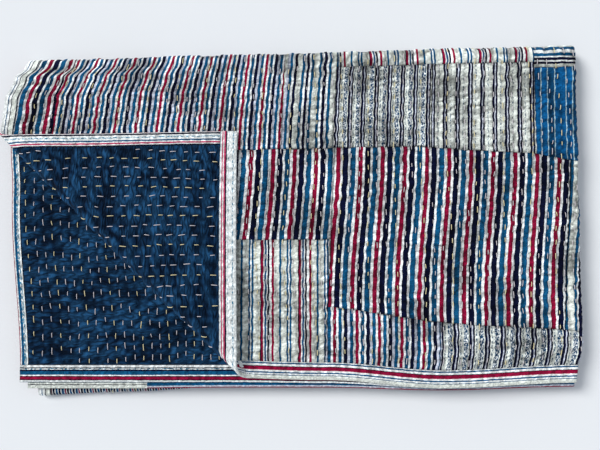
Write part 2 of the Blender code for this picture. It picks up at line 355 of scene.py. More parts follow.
def relief(side, u, v):
    """How far one cloth's puckered surface stands from its even one, out of the cloth."""
    row = row_place(u, v)
    off_row = (row - np.round(row)) * ROW
    between = 1 - np.exp(-((off_row / STITCH_DIMPLE) ** 2))
    stitch = stitch_place(u, v) + (0.0 if side > 0 else 0.5)
    raised = 0.5 - 0.5 * np.cos(2 * math.pi * stitch)
    fine = np.abs(gather(u, v))
    finer = np.abs(crumple(u, v))
    loose = 0.8 + 0.35 * np.clip(patchiness(u, v), -1.5, 1.5)

    rise = STITCH_DRAW[side] * (raised**1.4 - 0.35) * (0.45 + 0.55 * between)
    rise += ROW_SWELL[side] * (between - 0.78) * (1.2 - 0.5 * raised)
    rise += FINE_PUCKERS[side] * (fine - 0.75) * loose
    rise += CRUMPLES[side] * (finer - 0.75)
    rise += UNDULATION * undulation(u, v)
    rise += RUMPLES[side] * (np.abs(rumple(u, v)) - 0.75)
    rise += side * creased(u, v) * 1.2
    open_share = openness(side, u, v)
    low = -(SINK_SHUT + (SINK_OPEN - SINK_SHUT) * open_share)
    high = PROUD_SHUT + (PROUD_OPEN - PROUD_SHUT) * open_share
    calm = 0.3 + 0.7 * open_share
    middle, half = (high + low) / 2, (high - low) / 2
    return middle + half * np.tanh((rise * calm - middle) / half)


HEM_STEP = 0.0012  # over which a cloth dives under a binding
SWAY = 0.00024  # how far the threads stray across the throw, and along it
SLACK = 0.00030


def cloth_surface(side, u, v):
    """Where the outer surface of a cloth lies: its place in the cloth, and its w."""
    clear_u = np.minimum(u - LEFT_BINDING, QUILT_WIDTH - u - RIGHT_BINDING)
    clear_v = np.minimum(v, QUILT_LENGTH - v) - END_BINDING
    clear = np.minimum(clear_u, clear_v) - GAP
    full = eased(clear / HEM_STEP)
    calm = full * (0.35 + 0.65 * openness(side, u, v))
    moved_u = u + SWAY * sway(u, v) * calm
    moved_v = v + SLACK * slack(u, v) * calm
    rise = relief(side, u, v) * eased((clear + 0.0006) / 0.004)
    w = TONGUE + (HALF_SHEET + rise - TONGUE) * full
    return moved_u, moved_v, side * w, rise


# ---------------------------------------------------------------- building meshes


def bend_lines(crease, radius, steps):
    """Lines that divide a bend evenly."""
    bend = math.pi * radius
    return [crease + bend * (step / steps - 0.5) for step in range(steps + 1)]


BENDS_ACROSS = bend_lines(SIDE_CREASE, PITCH / 2, 8)
BENDS_ALONG = (
    bend_lines(FAR_CREASE, 2 * PITCH, 12)
    + bend_lines(MIDDLE_CREASE, PITCH, 10)
    + bend_lines(QUILT_LENGTH - FAR_CREASE, 2 * PITCH, 10)
)
EDGES_ACROSS = (LEFT_BINDING + GAP, QUILT_WIDTH - RIGHT_BINDING - GAP)
EDGES_ALONG = (END_BINDING + GAP, QUILT_LENGTH - END_BINDING - GAP)


MIN_SPACING = 0.45  # even lines keep this share of a cell away from the others
SLIVER = 1e-5  # no line comes closer to an end than this
BETWEEN_BENDS = 0.004  # lines further apart than this belong to different bends


def lines_between(low, high, cell, bends, edges=()):
    """Even lines from low to high, about a cell apart, with extra ones at bends and hems."""
    fixed = [line for line in bends if low < line < high]
    for edge in edges:
        inward = HEM_STEP if edge < 0.5 else -HEM_STEP
        fixed += [line for line in (edge, edge + inward) if low < line < high]
    even = np.linspace(low, high, max(2, math.ceil((high - low) / cell) + 1))
    apart = MIN_SPACING * cell
    kept = [line for line in even[1:-1] if all(abs(line - f) > apart for f in fixed)]
    kept = [line for line in kept if not any(a < line < b for a, b in bend_spans(bends))]
    inner = sorted(kept + [f for f in fixed if f - low > SLIVER and high - f > SLIVER])
    return np.array([low, *inner, high])


def bend_spans(bends):
    """The stretches that bend lines already divide finely."""
    groups, run = [], []
    for line in sorted(bends):
        if run and line - run[-1] > BETWEEN_BENDS:
            groups.append(run)
            run = []
        run.append(line)
    groups.append(run)
    return [(group[0], group[-1]) for group in groups]


def grid_faces(rows, columns, start=0):
    """The quads of a grid of vertices, row by row."""
    corner = start + np.arange((rows - 1) * columns).reshape(rows - 1, columns)[:, :-1]
    return np.stack(
        [corner, corner + 1, corner + columns + 1, corner + columns], axis=-1
    ).reshape(-1, 4)


def rim_loop(rows, columns):
    """The grid's outer vertices, in order round it."""
    index = np.arange(rows * columns).reshape(rows, columns)
    return np.concatenate(
        [index[0, :], index[1:, -1], index[-1, -2::-1], index[-2:0:-1, 0]]
    )


def facing_out(points, quads):
    """The quads of a nearly closed surface, turned to face outwards."""
    a, b, c, d = (points[quads[:, k]] for k in range(4))
    volume = np.einsum("ij,ij->i", a, np.cross(b, c)).sum()
    volume += np.einsum("ij,ij->i", a, np.cross(c, d)).sum()
    return quads if volume > 0 else quads[:, ::-1]


def add_object(name, mesh):
    """An object for a mesh, a light or a camera, in the scene."""
    made = bpy.data.objects.new(name, mesh)
    bpy.context.scene.collection.objects.link(made)
    return made


def add_piece(name, points, faces, uv, wear_and_painted_shade, material, sharp):
    """One closed mesh, with its flat u and v as a UV map and its wear and painted shade as an
    attribute.
    """
    mesh = bpy.data.meshes.new(name)
    mesh.from_pydata(points.tolist(), [], faces)
    mesh.polygons.foreach_set("use_smooth", [True] * len(faces))
    corners = np.empty(len(mesh.loops), int)
    mesh.loops.foreach_get("vertex_index", corners)
    mesh.uv_layers.new(name="cloth").data.foreach_set("uv", uv[corners].reshape(-1))
    mesh.attributes.new("wear_and_painted_shade", "FLOAT", "POINT").data.foreach_set("value", wear_and_painted_shade)
    mesh.update()
    mesh.set_sharp_from_angle(angle=math.radians(sharp))
    mesh.materials.append(material)
    return add_object(name, mesh)


SEAM_GAP = 0.00012
SEAM_DIP = 0.0005
SETTLING = 3  # rounds until a place that depends on itself has settled
WARP_REACH = 0.055  # how far into a patch its slanting sides pull the mesh
SHARP_CLOTH = 50  # degrees
SHARP_STRIP = 55
SHADE_AND_WEAR_RISE = 0.0022  # the rise from the deepest hollow, painted darkest as shade, to a fully worn ridge, painted lightest as wear and light
# The same rise for the binding strips' painted shade and wear
STRIP_SHADE_AND_WEAR_RISE = 0.0014
FOLD_HIGHLIGHT_LINE = 1.75 * ROLL_RADIUS  # how far past the turning line a painted highlight runs along the crest of the corner's fold
# the width of that painted highlight
FOLD_HIGHLIGHT_WIDTH = 0.5 * ROLL_RADIUS
MIDDLE_SEAM = 0.690  # a seam the whole length of the throw, just past the side crease

# Cross seams that run askew, each as v at places across the throw
CROSS_SEAMS = {
    "slant": ((0.0, 0.0805), (0.3515, 0.0805), (0.637, 0.0545), (MIDDLE_SEAM, 0.0500)),
    "top": (
        (0.0, 0.2595), (0.345, 0.2595), (0.370, 0.2602), (0.455, 0.2600), (0.500, 0.2555),
        (0.5885, 0.2490), (0.640, 0.2385), (MIDDLE_SEAM, 0.2370),
    ),
}

# How far the stripes of a patch have slewed across the throw, in metres, at places along it
LEANS = {
    "none": ((0.0, 0.0), (1.5, 0.0)),
    "middle": (
        (0.0936, 0.0), (0.1275, 0.0015), (0.150, 0.0034), (0.184, 0.0068), (0.223, 0.0100),
        (0.263, 0.0113),
    ),
    "far": ((0.263, 0.0), (0.290, 0.0012), (0.330, 0.0045), (0.361, 0.0080), (0.380, 0.0100)),
}
FAR_LEAN_SHARE = (
    (0.0, 0.3), (0.13, 0.6), (0.20, 1.0), (0.32, 1.0), (0.37, 0.55), (0.49, 0.3), (0.58, 0.0),
)


def line_at(rows, place):
    """A polyline's value at places along it."""
    return np.interp(place, [row[0] for row in rows], [row[1] for row in rows])


def leaned(lean, u, v):
    """Where across the throw the threads at (u, v) would lie if the stripes ran true."""
    share = line_at(FAR_LEAN_SHARE, u) if lean == "far" else 1.0
    return u - share * line_at(LEANS[lean], v)


def seam_at(seam, u):
    """The v of a seam at places across the throw; a seam is a name or a v."""
    return line_at(CROSS_SEAMS[seam], u) if isinstance(seam, str) else np.full(np.shape(u), seam)


def cloth_panel(name, side, left, right, near, far, cell, material, lean="none"):
    """A panel of one cloth, folded with the throw.

    left and right are a u, or (u at the near end, u at the far end); near and far are a v, or
    the name of a cross seam.
    """
    left, right = (ends if isinstance(ends, tuple) else (ends, ends) for ends in (left, right))
    edge = BINDING_LEG + GAP
    mid_left, mid_right = sum(left) / 2, sum(right) / 2
    middle = np.array([(mid_left + mid_right) / 2])
    mid_near, mid_far = float(seam_at(near, middle)[0]), float(seam_at(far, middle)[0])
    columns = lines_between(
        max(mid_left + SEAM_GAP, edge), min(mid_right - SEAM_GAP, QUILT_WIDTH - edge),
        cell, BENDS_ACROSS, EDGES_ACROSS,
    )
    lines = lines_between(
        max(mid_near + SEAM_GAP, edge), min(mid_far - SEAM_GAP, QUILT_LENGTH - edge),
        cell, BENDS_ALONG, EDGES_ALONG,
    )
    base_u, base_v = (grid.reshape(-1) for grid in np.meshgrid(columns, lines))
    left_part = 1 - eased((base_u - mid_left) / WARP_REACH)
    right_part = 1 - eased((mid_right - base_u) / WARP_REACH)
    near_part = 1 - eased((base_v - mid_near) / WARP_REACH)
    far_part = 1 - eased((mid_far - base_v) / WARP_REACH)
    u, v = base_u, base_v
    for _ in range(SETTLING):
        share = (v - mid_near) / (mid_far - mid_near)
        shift = left_part * (left[0] + share * (left[1] - left[0]) - mid_left)
        shift += right_part * (right[0] + share * (right[1] - right[0]) - mid_right)
        u = base_u + shift
        v = base_v + near_part * (seam_at(near, u) - mid_near)
        v += far_part * (seam_at(far, u) - mid_far)
    rows, count = len(lines), len(columns)
    moved_u, moved_v, w, rise = cloth_surface(side, u, v)
    rim = rim_loop(rows, count)
    border = np.zeros(rows * count)
    border[rim] = 1
    w = w - side * SEAM_DIP * border * (np.abs(w) > TONGUE + 0.0002)
    outer = folded(moved_u, moved_v, w)
    inner = folded(u, v, np.full(len(u), side * GAP / 2))
    following = np.roll(rim, -1)
    below = rows * count
    walls = np.stack([rim, following, following + below, rim + below], axis=-1)
    faces = np.concatenate(
        [grid_faces(rows, count), grid_faces(rows, count, below)[:, ::-1], walls[:, ::-1]]
    )
    points = np.concatenate([outer, inner])
    flat_uv = np.stack([leaned(lean, u, v), v], axis=-1)
    # Wear and painted shade: the hollows of the puckers are painted dark as shade and the ridges
    # light, partly as washed-out wear and partly as painted light; each patch's rim is painted
    # darker as shade in its seam
    wear_and_painted_shade = 0.5 + rise / SHADE_AND_WEAR_RISE - 0.35 * border
    # A painted highlight along the crest of the turned corner's rolled fold
    if side < 0:
        past = corner_distance(*pulled(u, v))
        wear_and_painted_shade += 0.55 * np.exp(-(((past - FOLD_HIGHLIGHT_LINE) / FOLD_HIGHLIGHT_WIDTH) ** 2))
    wear_and_painted_shade = np.clip(wear_and_painted_shade, 0, 1)
    piece = add_piece(
        name,
        points,
        facing_out(points, faces).tolist(),
        np.concatenate([flat_uv, flat_uv]),
        np.concatenate([wear_and_painted_shade, 0 * wear_and_painted_shade]),
        material,
        SHARP_CLOTH,
    )
    piece["flat_size"] = (mid_right - mid_left, mid_far - mid_near)
    return piece


# ---------------------------------------------------------------- materials


def linear(hex_colour):
    """An sRGB hex colour as linear RGBA."""
    channels = [int(hex_colour[k : k + 2], 16) / 255 for k in (1, 3, 5)]
    return tuple(
        c / 12.92 if c <= 0.04045 else ((c + 0.055) / 1.055) ** 2.4 for c in channels
    ) + (1.0,)


def add_node(tree, kind, sockets=(), **settings):
    """Adds a node with its settings, and sets or links its input sockets.

    Sockets are given in order, or by name or number. A node given for one is linked by its
    first output.
    """
    made = tree.nodes.new(kind)
    for name, value in settings.items():
        setattr(made, name, value)
    for socket, value in sockets.items() if isinstance(sockets, dict) else enumerate(sockets):
        if isinstance(value, bpy.types.Node):
            value = value.outputs[0]
        if isinstance(value, bpy.types.NodeSocket):
            tree.links.new(value, made.inputs[socket])
        else:
            made.inputs[socket].default_value = value
    return made


MATH = "ShaderNodeMath"
MIX = "ShaderNodeMix"

NAVY = "#080f2e"
CRIMSON = "#8e1038"
TEAL = "#10547e"
WHITE = "#f6fbfa"
CREAM = "#e6ece4"
LILAC = "#cbd2e0"
PALE_BLUE = "#a9c9d2"
BRIGHT_BLUE = "#0c5a92"
DEEP_BLUE = "#0d4872"
BACKING_NAVY = "#072342"
# The paler navy of the backing's ridges, partly faded wear and partly painted light
FADED_AND_LIT_NAVY = "#1b4468"


# Plain-woven cotton is matte, with the faint sheen of fine brushed fibres
COTTON = {
    "Roughness": 0.86,
    "IOR": 1.5,
    "Specular IOR Level": 0.06,
    "Sheen Weight": 0.02,
    "Sheen Roughness": 0.5,
}
# How a cotton has worn and where shade is painted on it: its shade in the hollows and on the
# ridges, painted shade and light that is partly wear; the depth of its fine creases and of its grit
# in millimetres; and how dark the painted shade in the creases is, and their size
STRIPED_FINISH_AND_SHADE = {
    "hollow": 0.26, "ridge": 1.42, "puckers": 0.6, "grit": 0.30, "creases": 0.36,
    "crease_size": (6.5, 4.4),
}
PLAIN_FINISH_AND_SHADE = {
    "hollow": 0.55, "ridge": 1.42, "puckers": 1.7, "grit": 0.08, "creases": 0.72,
    "crease_size": (15, 5.5),
}


def start_material(name, values):
    """A material with its shader's values set, and its tree and its shader."""
    material = bpy.data.materials.new(name)
    material.use_nodes = True
    shader = material.node_tree.nodes["Principled BSDF"]
    for socket, value in values.items():
        shader.inputs[socket].default_value = value
    return material, material.node_tree, shader


def cloth_place(tree):
    """A cloth's flat place, in millimetres."""
    uv = add_node(tree, "ShaderNodeUVMap", uv_map="cloth")
    return add_node(tree, "ShaderNodeMapping", {"Vector": uv, "Scale": (1 / MM, 1 / MM, 1 / MM)})


def grains(tree, place, size, detail=2.0, roughness=0.5, seed=0.0):
    """Random grains of size = (across, along) in millimetres."""
    moved = (seed * 17.3, seed * 9.1, 0)
    scale = (1 / size[0], 1 / size[1], 1)
    scaled = add_node(
        tree, "ShaderNodeMapping", {"Vector": place, "Location": moved, "Scale": scale}
    )
    return add_node(
        tree,
        "ShaderNodeTexNoise",
        {"Vector": scaled, "Scale": 1.0, "Detail": detail, "Roughness": roughness},
        noise_dimensions="2D",
    )


THREAD = 0.9  # mm between threads; real cotton has about 0.4 mm, too fine to show


def finish_and_shade_cotton(tree, shader, place, colour, finish_and_shade):
    """Adds the uneven dye, painted shade in the hollows and painted light on the ridges that is
    partly wear, slubby threads, fine creases with painted shade in them, and the weave.
    """
    blotches = grains(tree, place, (22, 30), 3.0, 0.6, 1.0)
    streaks = grains(tree, place, (1.3, 14), 2.0, 0.6, 2.0)
    specks = grains(tree, place, (1.8, 2.4), 2.0, 0.65, 3.0)
    folds = grains(tree, place, finish_and_shade["crease_size"], 1.5, 0.5, 9.0)
    folds = add_node(tree, MATH, (folds, -0.5), operation="ADD")
    folds = add_node(tree, MATH, (folds,), operation="ABSOLUTE")
    folds = add_node(tree, MATH, (folds, 5.0), operation="MULTIPLY")
    folds = add_node(tree, MATH, (folds, 1.0), operation="MINIMUM")

    wear_and_painted_shade = add_node(tree, "ShaderNodeAttribute", attribute_name="wear_and_painted_shade").outputs["Fac"]
    hollow, ridge, dark = finish_and_shade["hollow"], finish_and_shade["ridge"], finish_and_shade["creases"]
    # Painted shade and light: the hollows darker and the ridges lighter, partly as wear
    tone = add_node(tree, MATH, (wear_and_painted_shade, ridge - hollow, hollow), operation="MULTIPLY_ADD")
    for grain, strength in ((blotches, 0.24), (streaks, 0.34), (specks, 0.5)):
        tone = add_node(tree, MATH, (tone, -strength / 2), operation="ADD")
        tone = add_node(tree, MATH, (grain, strength, tone), operation="MULTIPLY_ADD")
    # Painted shade in the fine creases
    shadows = add_node(tree, MATH, (folds, dark, 1.06 - dark), operation="MULTIPLY_ADD")
    tone = add_node(tree, MATH, (tone, shadows), operation="MULTIPLY")
    shade = add_node(tree, "ShaderNodeVectorMath", {0: colour, "Scale": tone}, operation="SCALE")
    tree.links.new(shade.outputs[0], shader.inputs["Base Color"])

    parts = add_node(tree, "ShaderNodeSeparateXYZ", (place,))
    threads = []
    for axis in "XY":
        turns = (parts.outputs[axis], 2 * math.pi / THREAD)
        turned = add_node(tree, MATH, turns, operation="MULTIPLY")
        threads.append(add_node(tree, MATH, (turned,), operation="SINE"))
    weave = add_node(tree, MATH, threads, operation="MULTIPLY")
    height = add_node(tree, MATH, (weave, 0.05), operation="MULTIPLY")
    slub = grains(tree, place, (0.8, 7), 2.0, 0.6, 4.0)
    for grain, depth in ((slub, 0.16), (specks, finish_and_shade["grit"]), (folds, finish_and_shade["puckers"])):
        height = add_node(tree, MATH, (grain, depth, height), operation="MULTIPLY_ADD")
    bump = add_node(tree, "ShaderNodeBump", {"Height": height, "Strength": 1.0, "Distance": MM})
    tree.links.new(bump.outputs[0], shader.inputs["Normal"])


def band_ramp(tree, place, bands, colours):
    """A stepped ramp across one repeat, with one RGBA colour for each band."""
    ramp = add_node(tree, "ShaderNodeValToRGB", (place,))
    ramp.color_ramp.interpolation = "CONSTANT"
    total = sum(band[0] for band in bands)
    stops = ramp.color_ramp.elements
    stops.remove(stops[1])
    start = 0.0
    for band, colour in zip(bands, colours):
        stop = stops.new(start / total) if start else stops[0]
        stop.position = start / total
        stop.color = colour
        start += band[0]
    return ramp


# Each cloth's stripes, in the order they repeat: the width in millimetres, the colour, and
# where it is broken up by flecks of the fleck colour, how much
CLOTHS = {
    "bold_stripe": (
        (4.7, CRIMSON), (2.4, WHITE), (6.0, NAVY), (2.4, WHITE), (5.6, TEAL), (3.1, WHITE),
    ),
    "fine_stripe": (
        (3.3, CRIMSON), (2.1, WHITE), (3.5, TEAL), (2.1, WHITE), (3.6, NAVY), (2.6, LILAC),
        (3.5, TEAL), (2.2, WHITE),
    ),
    "blue_and_cream": (
        (3.0, LILAC), (3.1, TEAL), (2.5, WHITE), (3.4, NAVY), (5.6, CREAM), (3.1, TEAL),
        (2.5, WHITE), (3.1, NAVY), (2.4, WHITE), (3.2, TEAL), (6.4, CREAM), (3.1, TEAL),
        (2.5, WHITE), (3.6, NAVY), (2.6, WHITE), (3.4, TEAL), (6.0, CREAM),
    ),
    "edge_stripe": (
        (3.2, TEAL), (7.2, CREAM), (3.2, TEAL), (1.4, WHITE), (4.8, NAVY), (1.6, WHITE),
        (3.2, NAVY), (2.2, WHITE), (4.0, CRIMSON), (2.2, WHITE), (4.6, TEAL), (2.4, WHITE),
        (2.6, NAVY),
    ),
    "ikat_pinstripe": (
        (4.4, WHITE, 0.75), (0.9, CREAM), (2.4, NAVY), (1.2, LILAC), (1.7, NAVY), (0.9, CREAM),
        (1.5, CREAM, 0.6), (1.8, CREAM),
    ),
    "cream_pinstripe": (
        (2.4, NAVY), (1.2, LILAC), (2.0, NAVY), (2.8, CREAM), (1.4, CREAM, 0.55), (4.4, CREAM),
    ),
    "cream_rose_stripe": (
        (2.4, CRIMSON), (1.2, WHITE), (1.9, TEAL), (1.2, WHITE), (2.0, NAVY), (2.6, WHITE),
        (2.6, CRIMSON), (5.6, CREAM), (2.3, TEAL), (6.0, CREAM), (1.9, TEAL), (1.3, WHITE),
        (2.0, TEAL), (7.4, CREAM), (1.0, NAVY),
    ),
    "blue_pinstripe": (
        (1.1, PALE_BLUE), (6.4, BRIGHT_BLUE), (1.1, PALE_BLUE), (6.8, DEEP_BLUE),
        (1.1, PALE_BLUE), (12.0, BRIGHT_BLUE),
    ),
    "navy_band": (
        (3.6, CREAM), (2.6, NAVY), (1.6, WHITE), (3.0, NAVY), (1.5, WHITE), (2.6, TEAL),
        (2.0, WHITE), (3.0, TEAL),
    ),
    "navy_and_teal": (
        (2.3, NAVY), (1.0, WHITE), (2.5, TEAL), (0.9, WHITE), (2.4, NAVY), (1.2, WHITE),
        (2.6, TEAL), (1.0, LILAC), (1.8, CRIMSON), (1.0, WHITE),
    ),
}
FLECK = "#0f4468"
PALE_FLECK = "#3f86a4"


WANDER = 0.6  # how far a stripe's edges wander, in millimetres


def striped_cotton(name, bands, start=0.0, repeat=None, along=False, fleck=FLECK):
    """Yarn-dyed striped cotton: crisp bands with slightly wandering edges."""
    material, tree, shader = start_material(name, COTTON)
    place = cloth_place(tree)
    parts = add_node(tree, "ShaderNodeSeparateXYZ", (place,))
    across = parts.outputs["Y" if along else "X"]
    turned = -1 if along else 1
    wobble = grains(tree, place, (6, 14)[::turned], 1.0, 0.5, 5.0)
    ragged = grains(tree, place, (1.5, 3.5)[::turned], 1.0, 0.5, 5.5)
    moved = add_node(tree, MATH, (across, -start - WANDER), operation="ADD")
    for grain in (wobble, ragged):
        moved = add_node(tree, MATH, (grain, WANDER, moved), operation="MULTIPLY_ADD")
    repeat = repeat or sum(band[0] for band in bands)
    share = add_node(tree, MATH, (moved, repeat), operation="DIVIDE")
    share = add_node(tree, MATH, (share,), operation="FRACT")
    colour = band_ramp(tree, share, bands, [linear(band[1]) for band in bands])
    broken = [band[2] if len(band) > 2 else 0.0 for band in bands]
    if any(broken):
        amount = band_ramp(tree, share, bands, [(part, part, part, 1) for part in broken])
        flecks = grains(tree, place, (3.2, 1.3) if along else (1.3, 2.4), 3.0, 0.6, 6.0)
        reach = add_node(tree, MATH, (amount, 0.34, 0.34), operation="MULTIPLY_ADD")
        flecks = add_node(tree, MATH, (reach, flecks), operation="SUBTRACT")
        flecks = add_node(tree, MATH, (flecks, 9.0), operation="MULTIPLY")
        flecks = add_node(tree, MATH, (flecks, 0.0), operation="MAXIMUM")
        flecks = add_node(tree, MATH, (flecks, 1.0), operation="MINIMUM")
        some = add_node(tree, MATH, (amount, 0.01), operation="GREATER_THAN")
        flecks = add_node(tree, MATH, (flecks, some), operation="MULTIPLY")
        mixed = {"Factor": flecks, 6: colour, 7: linear(fleck)}
        colour = add_node(tree, MIX, mixed, data_type="RGBA").outputs[2]
    finish_and_shade_cotton(tree, shader, place, colour, STRIPED_FINISH_AND_SHADE)
    return material


def plain_cotton(name, deep, faded_and_lit):
    """Navy cotton, paler on the ridges and deep in the hollows: partly washed-out wear, partly
    painted light and painted shade.
    """
    material, tree, shader = start_material(name, COTTON)
    place = cloth_place(tree)
    patches = grains(tree, place, (14, 18), 2.0, 0.55, 8.0)
    wear_and_painted_shade = add_node(tree, "ShaderNodeAttribute", attribute_name="wear_and_painted_shade").outputs["Fac"]
    # Paler on the ridges and deeper in the hollows: partly wear, partly painted light and painted
    # shade
    share = add_node(tree, MATH, (wear_and_painted_shade, -0.15), operation="ADD")
    share = add_node(tree, MATH, (patches, 0.3, share), operation="MULTIPLY_ADD")
    mixed = {"Factor": share, 6: linear(deep), 7: linear(faded_and_lit)}
    colour = add_node(tree, MIX, mixed, data_type="RGBA").outputs[2]
    finish_and_shade_cotton(tree, shader, place, colour, PLAIN_FINISH_AND_SHADE)
    return material


# ---------------------------------------------------------------- the patchwork face

# The patches: the cloth; the left and right sides, and a slanting one as u at its near and
# far ends; the near and far sides; and the mesh cell in millimetres. Then, where they differ
# from the usual: where a stripe repeat starts, in millimetres; the length of a repeat where
# the cloth has been drawn in or out; and how the stripes lean.
USUAL_STRIPES = (0, None, "none")
PATCHES = (
    ("under_corner", "cream_pinstripe", 0.0, 0.238, 0.0, 0.1565, 4),
    ("near_cream", "cream_rose_stripe", 0.238, (0.3474, 0.3551), 0.0, 0.1565, 2, 278.2, 41.4),
    ("near_fine", "fine_stripe", (0.3474, 0.3515), 0.477, 0.0, "slant", 2, 357.2, 24.9),
    ("near_pinstripe", "ikat_pinstripe", 0.477, MIDDLE_SEAM, 0.0, "slant", 2, 485.0, 17.4),
    ("near_right_fine", "fine_stripe", MIDDLE_SEAM, 0.93, 0.0, 0.21, 8),
    ("near_right_bold", "bold_stripe", 0.93, QUILT_WIDTH, 0.0, 0.21, 8),
    ("corner_bold", "bold_stripe", 0.0, 0.205, 0.1565, "top", 4, 253.4, 24.2, "middle"),
    ("left_bold", "bold_stripe", 0.205, (0.3551, 0.3600), 0.1565, "top", 2, 253.4, 24.2, "middle"),
    (
        "wide_bold", "bold_stripe", (0.3515, 0.3600), (0.6159, 0.6272), "slant", "top",
        2, 351.0, 24.97, "middle",
    ),
    (
        "edge", "edge_stripe", (0.6159, 0.6272), MIDDLE_SEAM, "slant", "top",
        2, 615.9, None, "middle",
    ),
    ("right_cream", "cream_pinstripe", MIDDLE_SEAM, 0.93, 0.21, 0.43, 8),
    ("right_navy", "navy_band", 0.93, QUILT_WIDTH, 0.21, 0.43, 8),
    ("far_left_bold", "bold_stripe", 0.0, 0.0575, "top", 0.47, 2, 23.5, 22.6, "far"),
    ("far_fine", "fine_stripe", 0.0575, (0.2990, 0.3090), "top", 0.47, 2, 77.5, 21.8, "far"),
    (
        "far_border", "blue_and_cream", (0.2990, 0.3090), (0.3570, 0.3697), "top", 0.47,
        2, 299.0, None, "far",
    ),
    (
        "far_ikat", "ikat_pinstripe", (0.3570, 0.3632), (0.4690, 0.4710), "top", 0.3540,
        2, 398.0, 14.8, "far",
    ),
    (
        "far_pinstripe", "cream_pinstripe", (0.4690, 0.4710), (0.5885, 0.5868), "top", 0.3540,
        2, 481.8, 14.2, "far",
    ),
    ("far_blue", "blue_pinstripe", (0.5885, 0.5868), MIDDLE_SEAM, "top", 0.3475, 2, 593.6),
    ("back_rose", "cream_rose_stripe", (0.3632, 0.3697), 0.5868, 0.3540, 0.47, 2.5, 400.8, 41.2),
    ("back_navy", "navy_band", 0.5868, MIDDLE_SEAM, 0.3475, 0.47, 2.5, 347.5),
    # the underside of the block, and its near fold
    ("under_pinstripe", "cream_pinstripe", 0.0, 0.19, 0.47, 0.66, 4),
    ("under_bold", "bold_stripe", 0.19, 0.3697, 0.47, 0.66, 4),
    ("under_fine", "fine_stripe", 0.3697, 0.5868, 0.47, 0.66, 4),
    ("under_blue", "blue_pinstripe", 0.5868, MIDDLE_SEAM, 0.47, 0.66, 4),
    ("fold_teal", "navy_and_teal", 0.0, 0.27, 0.66, 0.85, 3),
    ("fold_cream", "cream_rose_stripe", 0.27, 0.46, 0.66, 0.85, 3),
    ("fold_fine", "fine_stripe", 0.46, MIDDLE_SEAM, 0.66, 0.85, 3),
    # inside the block
    ("inner_fine", "fine_stripe", MIDDLE_SEAM, QUILT_WIDTH, 0.43, 0.74, 9),
    ("inner_cream", "cream_rose_stripe", MIDDLE_SEAM, QUILT_WIDTH, 0.74, 1.05, 9),
    ("inner_bold", "bold_stripe", 0.0, 0.36, 0.85, 1.17, 9),
    ("inner_pinstripe", "cream_pinstripe", 0.36, MIDDLE_SEAM, 0.85, 1.17, 9),
    ("head_fine", "fine_stripe", 0.0, 0.31, 1.17, QUILT_LENGTH, 7),
    ("head_bold", "bold_stripe", 0.31, MIDDLE_SEAM, 1.17, QUILT_LENGTH, 7),
    ("head_blue", "blue_pinstripe", MIDDLE_SEAM, 0.92, 1.05, QUILT_LENGTH, 7),
    ("head_pinstripe", "cream_pinstripe", 0.92, QUILT_WIDTH, 1.05, QUILT_LENGTH, 7),
)


patchwork = []
cottons = {}
for name, cloth, left, right, near, far, cell, *stripes in PATCHES:
    start, repeat, lean = (*stripes, *USUAL_STRIPES[len(stripes) :])
    key = (cloth, start, repeat)
    if key not in cottons:
        cottons[key] = striped_cotton(
            f"{cloth}_cotton_{len(cottons)}", CLOTHS[cloth], start, repeat, cloth == "navy_band"
        )
    patchwork.append(
        cloth_panel(f"patch_{name}", 1, left, right, near, far, cell * MM, cottons[key], lean)
    )

# ---------------------------------------------------------------- the navy backing

# The panels: the left, right, near and far sides, and the mesh cell in millimetres
BACKING_PANELS = (
    ("turned_corner", 0.0, 0.300, 0.0, 0.300, 2),
    ("bared_corner", 0.970, QUILT_WIDTH, 0.0, 0.300, 2),
    ("near_middle", 0.300, 0.970, 0.0, 0.300, 8),
    ("far_middle", 0.0, QUILT_WIDTH, 0.300, 0.78, 9),
    ("head", 0.0, QUILT_WIDTH, 0.78, QUILT_LENGTH, 9),
)
navy_cotton = plain_cotton("navy_plain_cotton", BACKING_NAVY, FADED_AND_LIT_NAVY)
backing = [
    cloth_panel(f"backing_{name}", -1, left, right, near, far, cell * MM, navy_cotton)
    for name, left, right, near, far, cell in BACKING_PANELS
]

# ---------------------------------------------------------------- bindings

